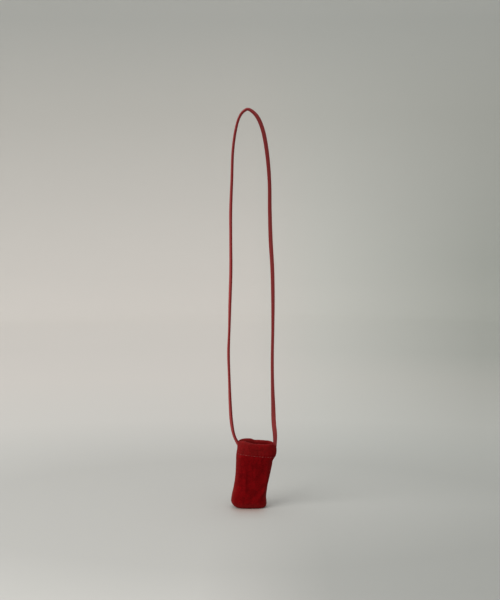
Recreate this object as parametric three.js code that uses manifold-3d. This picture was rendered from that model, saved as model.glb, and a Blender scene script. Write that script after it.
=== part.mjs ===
// Kinchaku drawstring pouch: a small suede bag whose lace is both its drawstring and its shoulder strap.
// Millimetres, +Z up, front towards -Y. The origin lies under the top of the strap, where the pouch hangs.

import * as THREE from "three";
import { LoftGeometry } from "three/addons/geometries/LoftGeometry.js";
import { mergeVertices } from "three/addons/utils/BufferGeometryUtils.js";
import Module from "manifold-3d";

// Materials in the sheet and the lace
const SUEDE_THICKNESS = 1.4;
const LACE_WIDTH = 7.5;
const LACE_THICKNESS = 3.5;
const LACE_CHAMFER = 0.8;
const THREAD_DIAMETER = 0.7;
const CLEARANCE = 0.3;
const LACE_PLAY = 0.6;

// Pouch, from the base up
const POUCH_HEIGHT = 115;
const BASE_WIDTH = 60;
const BASE_DEPTH = 34;
const BASE_ROUNDING = 9;
const BULGE_HEIGHT = 10;
const BULGE_WIDTH = 62;
const BULGE_DEPTH = 36;
const WAIST_HEIGHT = 35;
const WAIST_WIDTH = 58;
const WAIST_DEPTH = 35;
const SHOULDER_WIDTH = 60.5;
const SHOULDER_DEPTH = 33;
const STITCH_WIDTH = 64.5;
const STITCH_DEPTH = 29;
const CASING_HEIGHT = 22;
const CASING_WIDTH = 68.2;
const CASING_DEPTH = 31;
const RIM_WIDTH = 67.4;
const RIM_DEPTH = 30;
const SQUARENESS = 2.4;

// How the pouch leans to the right on its flat base, as sideways shifts of its middle
const BULGE_SHIFT = -0.1;
const WAIST_SHIFT = 2.7;
const SHOULDER_SHIFT = 7.6;
const STITCH_SHIFT = 11.9;
const CASING_SHIFT = 14.3;
const RIM_SHIFT = 14.6;
const RIM_TILT = THREE.MathUtils.degToRad(5.5);
const BACK_RISE = 2;

// Hem, side slits and side seams
const HEM_TAIL = 4;
const SLIT_PLAY = 0.7;
const SLIT_FLOOR = 3;
const SEAM_ALLOWANCE = 5;
const SEAM_LINE = 3;

// Where the rim hangs below the top of the strap
const HANG_DROP = 571.6;
const POUCH_X = 1.8;

// Free strap, from the left slit up over the top and down to the right slit.
// The leads are measured from its ends in the slits.
const LEFT_LEAD = [-9, 0, 18.4];
const RIGHT_LEAD = [0.6, 0, 24.9];
const STRAP_ROUTE = [
  [-28, -1, -538],
  [-30.2, -3, -506.5],
  [-31.7, -5, -462.5],
  [-33, -7, -414],
  [-31.6, -8, -372],
  [-30.6, -8, -332],
  [-28.8, -7, -271.5],
  [-28.9, -6, -220],
  [-28.9, -5, -169],
  [-27, -3, -118],
  [-25, -2, -67],
  [-20.3, -1, -33],
  [-14.7, 0, -13],
  [-8.6, 0, -3.4],
  [0, 0, LACE_THICKNESS / 2],
  [9.4, 0, -3.3],
  [17.5, 0, -13],
  [25.7, 1, -33.2],
  [32.3, 2, -67],
  [37, 3, -118],
  [37.8, 4, -169],
  [39.4, 5, -220],
  [42.4, 6, -271.5],
  [43.5, 6, -323.5],
  [43.4, 6, -375.5],
  [42.6, 5, -427.6],
  [43.1, 4, -471.4],
  [44.2, 2, -506.5],
  [45.3, 1, -538],
];

// Fineness of the facets
const AROUND = 48;
const WALL_STEPS = 10;
const CASING_STEPS = 3;
const BEND_STEPS = 4;
const SIDE_STEPS = 8;
const THREAD_SIDES = 6;
const STRAP_STEPS = 80;

// Heights and insets that follow from the sizes above
const TUNNEL = LACE_THICKNESS + 2 * LACE_PLAY;
const FOLD_RADIUS = SUEDE_THICKNESS + TUNNEL / 2;
const FOLD_HEIGHT = POUCH_HEIGHT - FOLD_RADIUS;
const LACE_HEIGHT = FOLD_HEIGHT - LACE_WIDTH / 2;
const LACE_FLOOR = LACE_HEIGHT - LACE_WIDTH / 2;
const TUNNEL_FLOOR = LACE_FLOOR - LACE_PLAY;
const STITCH_HEIGHT = POUCH_HEIGHT - CASING_HEIGHT;
const HEM_EDGE = STITCH_HEIGHT - HEM_TAIL;
const SLIT_WIDTH = LACE_WIDTH + 2 * SLIT_PLAY;
const FULL_TURN = 2 * Math.PI;
const LEFT = Math.PI;
const RIGHT = 0;

// Girth of the pouch: outside width and depth and the shift of its middle, at each height
const STATIONS = [
  [0, BASE_WIDTH, BASE_DEPTH, 0],
  [BULGE_HEIGHT, BULGE_WIDTH, BULGE_DEPTH, BULGE_SHIFT],
  [WAIST_HEIGHT, WAIST_WIDTH, WAIST_DEPTH, WAIST_SHIFT],
  [(WAIST_HEIGHT + STITCH_HEIGHT) / 2, SHOULDER_WIDTH, SHOULDER_DEPTH, SHOULDER_SHIFT],
  [STITCH_HEIGHT, STITCH_WIDTH, STITCH_DEPTH, STITCH_SHIFT],
  [(STITCH_HEIGHT + POUCH_HEIGHT) / 2, CASING_WIDTH, CASING_DEPTH, CASING_SHIFT],
  [POUCH_HEIGHT, RIM_WIDTH, RIM_DEPTH, RIM_SHIFT],
];
const girth = new THREE.CubicInterpolant(
  STATIONS.map((station) => station[0]),
  STATIONS.flatMap((station) => station.slice(1)),
  3,
);

function signedPower(value, power) {
  return Math.sign(value) * Math.abs(value) ** power;
}

// A point of the pouch by its angle from the right, its inset from the outside and its height.
// The rim tilts to the right and rises to the back, and the base stays level.
function pouchPoint(angle, inset, height) {
  const [width, depth, shift] = girth.evaluate(height);
  const x = (width / 2 - inset) * signedPower(Math.cos(angle), 2 / SQUARENESS);
  const y = (depth / 2 - inset) * signedPower(Math.sin(angle), 2 / SQUARENESS);
  const tiltShare = (height / POUCH_HEIGHT) ** 2;
  const lift = tiltShare * (y * (BACK_RISE / CASING_DEPTH) - x * Math.tan(RIM_TILT));
  return new THREE.Vector3(shift + x, y, height + lift);
}

// Angle from the side at which the pouch wall is this far from its middle plane
function sideAngle(inset, height, distance) {
  const depth = girth.evaluate(height)[1];
  return Math.asin((distance / (depth / 2 - inset)) ** (SQUARENESS / 2));
}

const ANGLES = Array.from({ length: AROUND }, (_, step) => (FULL_TURN * step) / AROUND);

function ring(inset, height) {
  return ANGLES.map((angle) => pouchPoint(angle, inset, height));
}

// Points of an arc in the plane of inset and height; 0 degrees points inwards, 90 up
function bend(inset, height, radius, fromDegrees, toDegrees, steps) {
  return Array.from({ length: steps + 1 }, (_, step) => {
    const angle = THREE.MathUtils.degToRad(fromDegrees + ((toDegrees - fromDegrees) * step) / steps);
    return [inset + radius * Math.cos(angle), height + radius * Math.sin(angle)];
  });
}

// Points up or down a wall between two heights, without its ends
function wall(inset, fromHeight, toHeight, steps) {
  return Array.from({ length: steps - 1 }, (_, step) => {
    return [inset, THREE.MathUtils.lerp(fromHeight, toHeight, (step + 1) / steps)];
  });
}

// Section of the sheet: up the outside, over the rim, down the hem to its raw edge, and back down the inside
function sheetProfile() {
  const hemInset = SUEDE_THICKNESS + CLEARANCE;
  const tunnelInset = SUEDE_THICKNESS + TUNNEL;
  return [
    ...bend(BASE_ROUNDING, BASE_ROUNDING, BASE_ROUNDING, 270, 180, BEND_STEPS),
    ...wall(0, BASE_ROUNDING, STITCH_HEIGHT, WALL_STEPS),
    [0, STITCH_HEIGHT],
    ...wall(0, STITCH_HEIGHT, TUNNEL_FLOOR, CASING_STEPS),
    [0, TUNNEL_FLOOR],
    ...wall(0, TUNNEL_FLOOR, FOLD_HEIGHT, CASING_STEPS),
    ...bend(FOLD_RADIUS, FOLD_HEIGHT, FOLD_RADIUS, 180, 0, 2 * BEND_STEPS),
    ...wall(2 * FOLD_RADIUS, FOLD_HEIGHT, TUNNEL_FLOOR, CASING_STEPS),
    [2 * FOLD_RADIUS, TUNNEL_FLOOR],
    [hemInset + SUEDE_THICKNESS, STITCH_HEIGHT],
    [hemInset + SUEDE_THICKNESS, HEM_EDGE],
    [hemInset, HEM_EDGE],
    [hemInset, STITCH_HEIGHT],
    [tunnelInset, TUNNEL_FLOOR],
    ...wall(tunnelInset, TUNNEL_FLOOR, FOLD_HEIGHT, CASING_STEPS),
    ...bend(FOLD_RADIUS, FOLD_HEIGHT, TUNNEL / 2, 0, 180, 2 * BEND_STEPS),
    ...wall(SUEDE_THICKNESS, FOLD_HEIGHT, TUNNEL_FLOOR, CASING_STEPS),
    [SUEDE_THICKNESS, TUNNEL_FLOOR],
    ...wall(SUEDE_THICKNESS, TUNNEL_FLOOR, STITCH_HEIGHT, CASING_STEPS),
    [SUEDE_THICKNESS, STITCH_HEIGHT],
    ...wall(SUEDE_THICKNESS, STITCH_HEIGHT, BASE_ROUNDING, WALL_STEPS),
    ...bend(BASE_ROUNDING, BASE_ROUNDING, BASE_ROUNDING - SUEDE_THICKNESS, 180, 270, BEND_STEPS),
  ];
}

const wasm = await Module();
wasm.setup();

function toSolid(geometry) {
  const bare = geometry.toNonIndexed();
  bare.deleteAttribute("normal");
  bare.deleteAttribute("uv");
  const merged = mergeVertices(bare);
  const vertProperties = new Float32Array(merged.attributes.position.array);
  const triVerts = new Uint32Array(merged.index.array);
  return new wasm.Manifold(new wasm.Mesh({ numProp: 3, vertProperties, triVerts }));
}

function toGeometry(solid) {
  const mesh = solid.getMesh();
  const geometry = new THREE.BufferGeometry();
  geometry.setAttribute("position", new THREE.BufferAttribute(mesh.vertProperties, 3));
  geometry.setIndex(new THREE.BufferAttribute(mesh.triVerts, 1));
  return geometry;
}

function heightSteps(low, high) {
  return Array.from({ length: SIDE_STEPS + 1 }, (_, step) => low + ((high - low) * step) / SIDE_STEPS);
}

// A flat bar that follows a side of the pouch upwards, between two insets
function sideBar(side, outerInset, innerInset, width, heights) {
  const turn = Math.cos(side);
  const sections = heights.map((height) => {
    const corners = [[outerInset, -turn], [outerInset, turn], [innerInset, turn], [innerInset, -turn]];
    return corners.map(([inset, across]) => pouchPoint(side, inset, height).setY((across * width) / 2));
  });
  return new LoftGeometry(sections, { closed: true, capStart: true, capEnd: true });
}

// Opening at a side of the casing, from above the stitch line up through the rim
function slitCutter(side) {
  const heights = heightSteps(STITCH_HEIGHT + SLIT_FLOOR, POUCH_HEIGHT + CASING_HEIGHT);
  return sideBar(side, -FOLD_RADIUS, 3 * FOLD_RADIUS, SLIT_WIDTH, heights);
}

// Heights along a side seam, from the base's rounding to the hem
function seamHeights() {
  return heightSteps(BASE_ROUNDING, HEM_EDGE - CLEARANCE);
}

// The two sheet edges of a side seam, pressed together and standing inwards from the wall
function seamAllowance(side) {
  const root = SUEDE_THICKNESS / 2;
  const tip = SUEDE_THICKNESS + SEAM_ALLOWANCE;
  return sideBar(side, root, tip, 2 * SUEDE_THICKNESS, seamHeights());
}

function pouchBody() {
  const profile = sheetProfile();
  const rings = profile.map(([inset, height]) => ring(inset, height));
  const floorCentre = new THREE.Vector3(0, 0, SUEDE_THICKNESS);
  rings.push(Array.from({ length: AROUND }, () => floorCentre.clone()));
  let solid = toSolid(new LoftGeometry(rings, { closed: true, capStart: true, capEnd: false }));
  for (const side of [LEFT, RIGHT]) {
    solid = solid.subtract(toSolid(slitCutter(side)));
    solid = solid.add(toSolid(seamAllowance(side)));
  }
  return toGeometry(solid);
}

// Corners of the lace, across its thickness and along its width
function laceSection() {
  const across = LACE_THICKNESS / 2;
  const along = LACE_WIDTH / 2;
  return [
    [across - LACE_CHAMFER, -along],
    [across, -along + LACE_CHAMFER],
    [across, along - LACE_CHAMFER],
    [across - LACE_CHAMFER, along],
    [-across + LACE_CHAMFER, along],
    [-across, along - LACE_CHAMFER],
    [-across, -along + LACE_CHAMFER],
    [-across + LACE_CHAMFER, -along],
  ];
}

function threadSection() {
  return Array.from({ length: THREAD_SIDES }, (_, corner) => {
    const angle = (FULL_TURN * corner) / THREAD_SIDES;
    return [(THREAD_DIAMETER / 2) * Math.cos(angle), (THREAD_DIAMETER / 2) * Math.sin(angle)];
  });
}

// A section carried round one half of the pouch, from one side slit to the other.
// The half starts at the right for the back and at the left for the front.
function carriedRound(section, inset, height, halfStart, endGap) {
  const from = halfStart + endGap;
  const to = halfStart + Math.PI - endGap;
  const sliver = FULL_TURN / AROUND / 4;
  const between = ANGLES.filter((angle) => angle > from + sliver && angle < to - sliver);
  const sections = [from, ...between, to].map((angle) => {
    return section.map(([u, v]) => pouchPoint(angle, inset + u, height + v));
  });
  return new LoftGeometry(sections, { closed: true, capStart: true, capEnd: true });
}

// The lace inside its casing stops just short of the strap end that fills the slit
function drawstring(halfStart) {
  const endGap = sideAngle(FOLD_RADIUS, LACE_HEIGHT, LACE_WIDTH / 2 + CLEARANCE);
  return carriedRound(laceSection(), FOLD_RADIUS, LACE_HEIGHT, halfStart, endGap);
}

function casingThread(halfStart) {
  const endGap = sideAngle(0, STITCH_HEIGHT, SLIT_WIDTH / 2);
  const inset = -(THREAD_DIAMETER / 2 + CLEARANCE);
  return carriedRound(threadSection(), inset, STITCH_HEIGHT, halfStart, endGap);
}

// Thread of a side seam, down the front face of the seam allowance
function seamThread(side) {
  const across = -(SUEDE_THICKNESS + CLEARANCE + THREAD_DIAMETER / 2);
  const sections = seamHeights().map((height) => {
    const middle = pouchPoint(side, SUEDE_THICKNESS + SEAM_LINE, height).setY(across);
    return threadSection().map(([u, v]) => new THREE.Vector3(middle.x + u, middle.y + v, middle.z));
  });
  return new LoftGeometry(sections, { closed: true, capStart: true, capEnd: true });
}

function shoulderStrap(pouchPlace) {
  const leftEnd = pouchPoint(LEFT, FOLD_RADIUS, LACE_FLOOR).add(pouchPlace);
  const rightEnd = pouchPoint(RIGHT, FOLD_RADIUS, LACE_FLOOR).add(pouchPlace);
  const route = [
    leftEnd,
    new THREE.Vector3(...LEFT_LEAD).add(leftEnd),
    ...STRAP_ROUTE.map((point) => new THREE.Vector3(...point)),
    new THREE.Vector3(...RIGHT_LEAD).add(rightEnd),
    rightEnd,
  ];
  const section = new THREE.Shape(laceSection().map(([u, v]) => new THREE.Vector2(v, u)));
  const extrudePath = new THREE.CatmullRomCurve3(route, false, "centripetal");
  return new THREE.ExtrudeGeometry(section, { steps: STRAP_STEPS, extrudePath, bevelEnabled: false });
}

const suede = { color: 0x5f0b0c, roughness: 0.95, metalness: 0 };
const lace = { color: 0x7a302d, roughness: 0.7, metalness: 0 };
const thread = { color: 0x8c3a34, roughness: 0.8, metalness: 0 };

function named(name, geometry, finish) {
  const mesh = new THREE.Mesh(geometry, new THREE.MeshStandardMaterial(finish));
  mesh.name = name;
  return mesh;
}

const pouch = new THREE.Group();
pouch.position.set(POUCH_X, 0, -HANG_DROP - POUCH_HEIGHT);
pouch.add(
  named("pouch_body", pouchBody(), suede),
  named("drawstring_front", drawstring(LEFT), lace),
  named("drawstring_back", drawstring(RIGHT), lace),
  named("casing_thread_front", casingThread(LEFT), thread),
  named("casing_thread_back", casingThread(RIGHT), thread),
  named("side_thread_left", seamThread(LEFT), thread),
  named("side_thread_right", seamThread(RIGHT), thread),
);

const part = new THREE.Group();
part.name = "kinchaku_pouch";
part.add(pouch, named("shoulder_strap", shoulderStrap(pouch.position), lace));

export default part;
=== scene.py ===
import math

import bpy
import numpy as np
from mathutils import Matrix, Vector


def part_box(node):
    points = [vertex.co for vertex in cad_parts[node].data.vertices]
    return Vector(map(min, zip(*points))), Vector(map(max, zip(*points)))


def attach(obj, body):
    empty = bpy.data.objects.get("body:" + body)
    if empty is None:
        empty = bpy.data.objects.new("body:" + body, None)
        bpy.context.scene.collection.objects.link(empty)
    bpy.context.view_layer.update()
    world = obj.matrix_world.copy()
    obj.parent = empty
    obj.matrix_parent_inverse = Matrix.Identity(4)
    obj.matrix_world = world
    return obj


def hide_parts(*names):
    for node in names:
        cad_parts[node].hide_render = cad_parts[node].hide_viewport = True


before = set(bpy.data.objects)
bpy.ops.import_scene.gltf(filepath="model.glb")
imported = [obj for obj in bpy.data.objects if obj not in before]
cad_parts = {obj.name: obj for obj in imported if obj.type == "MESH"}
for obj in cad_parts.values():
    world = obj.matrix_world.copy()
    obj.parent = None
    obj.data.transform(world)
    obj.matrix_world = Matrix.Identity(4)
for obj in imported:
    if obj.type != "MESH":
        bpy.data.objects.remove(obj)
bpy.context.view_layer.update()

BODY = "root"
MM = 0.001

# Suede, lace and thread
SUEDE = 1.4 * MM
LACE_WIDTH = 7.5 * MM
LACE_THICKNESS = 3.5 * MM
LACE_ROUNDING = 0.7 * MM
LACE_PLAY = 0.6 * MM
THREAD = 0.8 * MM

# Girth of the pouch from the base up: height, width, depth, sideways shift and squareness
POUCH_HEIGHT = 115 * MM
STATION_HEIGHTS = np.array([0, 8, 17, 34.5, 55, 76, 88, 94.5, 106, 115]) * MM
STATION_WIDTHS = np.array([61, 62, 60.5, 59.6, 61.1, 63, 64.5, 68.2, 69.7, 68.1]) * MM
STATION_DEPTHS = np.array([34, 36, 36, 35, 33.6, 31.5, 29.6, 29.4, 31, 30]) * MM
STATION_SHIFTS = np.array([0, 0, 0.1, 2.9, 6.3, 8.9, 10.4, 12.8, 14.3, 14.3]) * MM
STATION_SQUARENESS = np.array([3.2, 3.1, 3.0, 2.9, 2.8, 2.7, 2.6, 2.5, 2.4, 2.4])
RIM_TILT = math.radians(5.5)
BACK_RISE = 2 * MM
CASING_DEPTH = 31 * MM
CASING_HEIGHT = 22 * MM
HEM_TAIL = 4 * MM
HEM_GAP = 0.3 * MM
SLIT_PLAY = 0.7 * MM
SLIT_FLOOR = 3 * MM
POUCH_X = 1.8 * MM
BASE_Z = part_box("pouch_body")[0].z

# Radius of the base edge at the right, back, left and front
BASE_ROUNDING = np.array([5, 6, 14, 4]) * MM

# Heights that follow
TUNNEL = LACE_THICKNESS + 2 * LACE_PLAY
FOLD_RADIUS = SUEDE + TUNNEL / 2
FOLD_HEIGHT = POUCH_HEIGHT - FOLD_RADIUS
LACE_HEIGHT = FOLD_HEIGHT - LACE_WIDTH / 2
TUNNEL_FLOOR = LACE_HEIGHT - LACE_WIDTH / 2 - LACE_PLAY
STITCH_HEIGHT = POUCH_HEIGHT - CASING_HEIGHT
HEM_EDGE = STITCH_HEIGHT - HEM_TAIL
SLIT_WIDTH = LACE_WIDTH + 2 * SLIT_PLAY
SLIT_HEIGHT = STITCH_HEIGHT + SLIT_FLOOR
RIGHT = 0.0
LEFT = math.pi

# Camera at the height and distance that give the photograph's frame
CAMERA_PLACE = Vector((3.94, -2300, -82.7)) * MM
CAMERA_TARGET = Vector((3.94, 0, -323.4)) * MM
CAMERA_LENS = 80.67
SENSOR = 36.0

# Free strap from the left slit over the top to the right slit: place in millimetres, then its turn
# in degrees from edge on to the front. The first and last points are the ends in the slits.
STRAP_ROUTE = [
    (-14.4, 0, -579.4, 34),
    (-23.4, 0, -561, 22),
    (-28, -1, -538, 28),
    (-30.2, -3, -506.5, 23),
    (-31.7, -5, -462.5, 13),
    (-33, -7, -414, 15),
    (-31.6, -8, -372, 10),
    (-30.6, -8, -332, 19),
    (-28.8, -7, -271.5, 22),
    (-28.9, -6, -220, 18),
    (-28.9, -5, -169, 20),
    (-27, -3, -118, 14),
    (-25, -2, -67, 13),
    (-20.3, -1, -33, 12),
    (-14.7, 0, -13, 11),
    (-8.6, 0, -3.4, 14),
    (0, 0, 1.75, 18),
    (9.4, 0, -3.3, 28),
    (17.5, 0, -13, 38),
    (25.7, 1, -33.2, 40),
    (32.3, 2, -67, 40),
    (37, 3, -118, 32),
    (37.8, 4, -169, 36),
    (39.4, 5, -220, 43),
    (42.4, 6, -271.5, 38),
    (43.5, 6, -323.5, 31),
    (43.4, 6, -375.5, 21),
    (42.6, 5, -427.6, 21),
    (43.1, 4, -471.4, 26),
    (44.2, 2, -506.5, 45),
    (45.3, 1, -538, 72),
    (47.4, 0, -559.3, 54),
    (47.4, 0, -584.2, 16),
]
STRAP_STEP = 1.6 * MM

# Height above the casing lace at which the free strap ends in a slit and turns into the casing, how far
# that turn swings, how early its face has turned and how fast it starts to
STRAP_FOOT = 1.5 * MM
BEND_SWING = 1.0
BEND_TURNED = 0.8
BEND_TWIST = 0.45
BEND_RINGS = 26

# Where the casing run starts and ends, in radians from the sides
RUN_START = 0.85
RUN_END = 0.3
RUN_RINGS = 60


def smooth_step(low, high, value):
    share = np.clip((value - low) / (high - low), 0, 1)
    return share * share * (3 - 2 * share)


def cubic_through(knots, values, at):
    """Smooth curve that passes through the values at the knots."""
    slopes = np.gradient(values, knots)
    left = np.clip(np.searchsorted(knots, at, side="right") - 1, 0, len(knots) - 2)
    gap = knots[left + 1] - knots[left]
    t = (at - knots[left]) / gap
    rise = (1 + 2 * t) * (1 - t) ** 2 * values[left] + t * t * (3 - 2 * t) * values[left + 1]
    lean = t * (1 - t) ** 2 * slopes[left] - t * t * (1 - t) * slopes[left + 1]
    return rise + gap * lean


# Ripple of the front and back rim: place across the mouth from left to right, and lift
RIM_PLACES = np.array([-1, -0.7, -0.45, -0.3, -0.18, 0.1, 0.4, 0.7, 0.86, 1])
FRONT_RIM = np.array([-1.5, 1.4, 0.6, -0.2, -0.6, -0.6, -0.2, 1.0, 0.2, -2.6]) * MM
BACK_RIM = np.array([-1.5, 1.3, 2.2, 2.0, 0.6, 1.0, 1.5, 1.5, 0.0, -3.4]) * MM
FRONT_TO_BACK = (-0.25, 0.25)

# The stitch line runs down to the right a little more than the rim
STITCH_DROP = 1.2 * MM
STITCH_REACH = 14 * MM


def rim_ripple(across, depth_share, height):
    front = cubic_through(RIM_PLACES, FRONT_RIM, np.clip(across, -1, 1))
    back = cubic_through(RIM_PLACES, BACK_RIM, np.clip(across, -1, 1))
    to_back = smooth_step(*FRONT_TO_BACK, depth_share)
    return (front + (back - front) * to_back) * smooth_step(STITCH_HEIGHT, POUCH_HEIGHT, height)


# Soft dents and swellings of the wall: angle in degrees, height, reach around, reach up, push outwards
DENTS = [
    (292, 62 * MM, 11 * MM, 30 * MM, -1.5 * MM),
    (238, 40 * MM, 14 * MM, 22 * MM, 0.9 * MM),
    (222, 74 * MM, 9 * MM, 16 * MM, -0.9 * MM),
    (300, 24 * MM, 13 * MM, 12 * MM, 1.0 * MM),
    (180, 52 * MM, 9 * MM, 26 * MM, -1.2 * MM),
    (0, 46 * MM, 9 * MM, 24 * MM, -1.4 * MM),
    (85, 56 * MM, 16 * MM, 30 * MM, -1.6 * MM),
    (62, 26 * MM, 13 * MM, 14 * MM, 1.0 * MM),
    (128, 34 * MM, 12 * MM, 18 * MM, 0.9 * MM),
    (112, 78 * MM, 9 * MM, 14 * MM, -0.7 * MM),
]
DENT_GIRTH = 24 * MM
DENTS_END = STITCH_HEIGHT - 12 * MM

# Relief of the sewing: groove under the casing, puckers round it, waves of the casing and side seams
GROOVE_DEPTH = 0.55 * MM
GROOVE_WIDTH = 1.3 * MM
PUCKER_HEIGHT = 0.2 * MM
PUCKER_REACH = 7 * MM
PUCKER_COUNT = 19
PUCKER_DRIFT = 1.3
PUCKER_DRIFT_COUNT = 5
WAVE_HEIGHT = 0.35 * MM
WAVE_COUNT = 7
WAVE_START = 0.8
WAVE_LEVELS = (STITCH_HEIGHT + 1 * MM, STITCH_HEIGHT + 6 * MM)
SEAM_DEPTH = 1.3 * MM
SEAM_WIDTH = 2.6 * MM
SEAM_SHARPNESS = 1.5
SEAM_END = (SLIT_HEIGHT - 2 * MM, SLIT_HEIGHT)
CHEEK_HEIGHT = 0.5 * MM
CHEEK_PLACE = 3.8 * MM
CHEEK_WIDTH = 2 * MM
RELIEF_START = (2 * MM, 14 * MM)


def wall_relief(angle, y, height):
    """How far the sheet stands out from its plain girth."""
    relief = np.zeros(np.broadcast(angle, y, height).shape)
    for degrees, middle, around, up, push in DENTS:
        turn = np.angle(np.exp(1j * (angle - math.radians(degrees)))) * DENT_GIRTH
        relief = relief + push * np.exp(-((turn / around) ** 2) - ((height - middle) / up) ** 2)
    on_wall = 1 - smooth_step(DENTS_END, STITCH_HEIGHT, height)
    relief = relief * on_wall
    groove = np.exp(-(((height - STITCH_HEIGHT) / GROOVE_WIDTH) ** 2))
    relief = relief - GROOVE_DEPTH * groove
    pucker = np.cos(angle * PUCKER_COUNT + PUCKER_DRIFT * np.sin(angle * PUCKER_DRIFT_COUNT))
    pucker = pucker * np.exp(-np.abs(height - STITCH_HEIGHT) / PUCKER_REACH)
    relief = relief + PUCKER_HEIGHT * pucker
    casing = smooth_step(*WAVE_LEVELS, height)
    relief = relief + WAVE_HEIGHT * casing * np.cos(angle * WAVE_COUNT + WAVE_START)
    seam = 1 - smooth_step(*SEAM_END, height)
    relief = relief - SEAM_DEPTH * seam * np.clip(1 - np.abs(y) / SEAM_WIDTH, 0, 1) ** SEAM_SHARPNESS
    relief = relief + CHEEK_HEIGHT * seam * np.exp(-(((np.abs(y) - CHEEK_PLACE) / CHEEK_WIDTH) ** 2))
    return relief * smooth_step(*RELIEF_START, height)


def signed_power(value, power):
    return np.sign(value) * np.abs(value) ** power


def pouch_points(angle, inset, height):
    """Points of the pouch by angle seen from above, inset from its outside, and height."""
    angle, inset, height = np.broadcast_arrays(angle, inset, height)
    width = cubic_through(STATION_HEIGHTS, STATION_WIDTHS, height)
    depth = cubic_through(STATION_HEIGHTS, STATION_DEPTHS, height)
    shift = cubic_through(STATION_HEIGHTS, STATION_SHIFTS, height)
    power = 2 / cubic_through(STATION_HEIGHTS, STATION_SQUARENESS, height)
    x = (width / 2 - inset) * signed_power(np.cos(angle), power)
    y = (depth / 2 - inset) * signed_power(np.sin(angle), power)
    normal_x = signed_power(np.cos(angle), 2 - power) / width
    normal_y = signed_power(np.sin(angle), 2 - power) / depth
    size = np.hypot(normal_x, normal_y)
    relief = wall_relief(angle, y, height)
    x = x + relief * normal_x / size
    y = y + relief * normal_y / size
    share = (height / POUCH_HEIGHT) ** 2
    lift = share * (y * BACK_RISE / CASING_DEPTH - x * math.tan(RIM_TILT))
    lift = lift + rim_ripple(2 * x / width, 2 * y / depth, height)
    lift = lift - STITCH_DROP * (2 * x / width) * np.exp(-(((height - STITCH_HEIGHT) / STITCH_REACH) ** 2))
    return np.stack([POUCH_X + shift + x, y, BASE_Z + height + lift], axis=-1)


def new_piece(name, points, faces, material):
    mesh = bpy.data.meshes.new(name)
    mesh.from_pydata([tuple(point) for point in points], [], faces)
    mesh.materials.append(material)
    mesh.polygons.foreach_set("use_smooth", [True] * len(mesh.polygons))
    mesh.update()
    piece = bpy.data.objects.new(name, mesh)
    bpy.context.scene.collection.objects.link(piece)
    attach(piece, BODY)
    return piece


# Camera, light and floor

def add_camera():
    camera = bpy.data.objects.new("camera", bpy.data.cameras.new("camera"))
    camera.data.lens = CAMERA_LENS
    camera.data.sensor_width = SENSOR
    camera.location = CAMERA_PLACE
    camera.rotation_euler = (CAMERA_TARGET - CAMERA_PLACE).to_track_quat("-Z", "Y").to_euler()
    bpy.context.scene.collection.objects.link(camera)
    bpy.context.scene.camera = camera


# Even light from all round, the grey that the camera sees of it, and one large soft lamp at the left
SKY_COLOUR = (1.0, 1.0, 0.99)
SKY_STRENGTH = 0.88
SKY_SEEN = (0.37, 0.37, 0.35)
LAMP_PLACE = (-2.2, -1.9, 0.7)
LAMP_TARGET = (0, 0, -0.45)
LAMP_SIZE = 2.6
LAMP_POWER = 82
LAMP_COLOUR = (1.0, 0.99, 0.97)


def add_area_light(name, place, target, size, power, colour):
    light = bpy.data.lights.new(name, "AREA")
    light.size = size
    light.energy = power
    light.color = colour
    lamp = bpy.data.objects.new(name, light)
    lamp.location = place
    lamp.rotation_euler = (Vector(target) - Vector(place)).to_track_quat("-Z", "Y").to_euler()
    bpy.context.scene.collection.objects.link(lamp)


def add_world(colour, strength, seen):
    """Even light from all round, which the camera sees as a plain grey."""
    world = bpy.data.worlds.new("studio")
    world.use_nodes = True
    tree = world.node_tree
    light = tree.nodes["Background"]
    light.inputs["Color"].default_value = (*colour, 1)
    light.inputs["Strength"].default_value = strength
    plain = tree.nodes.new("ShaderNodeBackground")
    plain.inputs["Color"].default_value = (*seen, 1)
    path = tree.nodes.new("ShaderNodeLightPath")
    mix = tree.nodes.new("ShaderNodeMixShader")
    tree.links.new(path.outputs["Is Camera Ray"], mix.inputs["Fac"])
    tree.links.new(light.outputs["Background"], mix.inputs[1])
    tree.links.new(plain.outputs["Background"], mix.inputs[2])
    tree.links.new(mix.outputs["Shader"], tree.nodes["World Output"].inputs["Surface"])
    bpy.context.scene.world = world


# Round floor with a low wall
FLOOR_RADIUS = 3.6
COVE_RADIUS = 0.8
WALL_TOP = 1.6
COVE_STEPS = 24
FLOOR_SEGMENTS = 96


def add_floor(material):
    """A round floor that curves up into a low wall all round, so that every view has the same ground."""
    profile = []
    for step in range(COVE_STEPS + 1):
        turn = math.pi / 2 * step / COVE_STEPS
        along = FLOOR_RADIUS - COVE_RADIUS + COVE_RADIUS * math.sin(turn)
        profile.append((along, COVE_RADIUS * (1 - math.cos(turn))))
    profile.append((FLOOR_RADIUS, WALL_TOP))
    points = [(0, 0, BASE_Z)]
    for radius, height in profile:
        for segment in range(FLOOR_SEGMENTS):
            turn = 2 * math.pi * segment / FLOOR_SEGMENTS
            points.append((radius * math.cos(turn), radius * math.sin(turn), BASE_Z + height))
    faces = [(0, 1 + k, 1 + (k + 1) % FLOOR_SEGMENTS) for k in range(FLOOR_SEGMENTS)]
    for ring in range(len(profile) - 1):
        low, high = 1 + ring * FLOOR_SEGMENTS, 1 + (ring + 1) * FLOOR_SEGMENTS
        for k in range(FLOOR_SEGMENTS):
            after = (k + 1) % FLOOR_SEGMENTS
            faces.append((low + k, high + k, high + after, low + after))
    mesh = bpy.data.meshes.new("floor")
    mesh.from_pydata(points, [], faces)
    mesh.materials.append(material)
    mesh.polygons.foreach_set("use_smooth", [True] * len(mesh.polygons))
    floor = bpy.data.objects.new("floor", mesh)
    bpy.context.scene.collection.objects.link(floor)


# Materials

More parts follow.
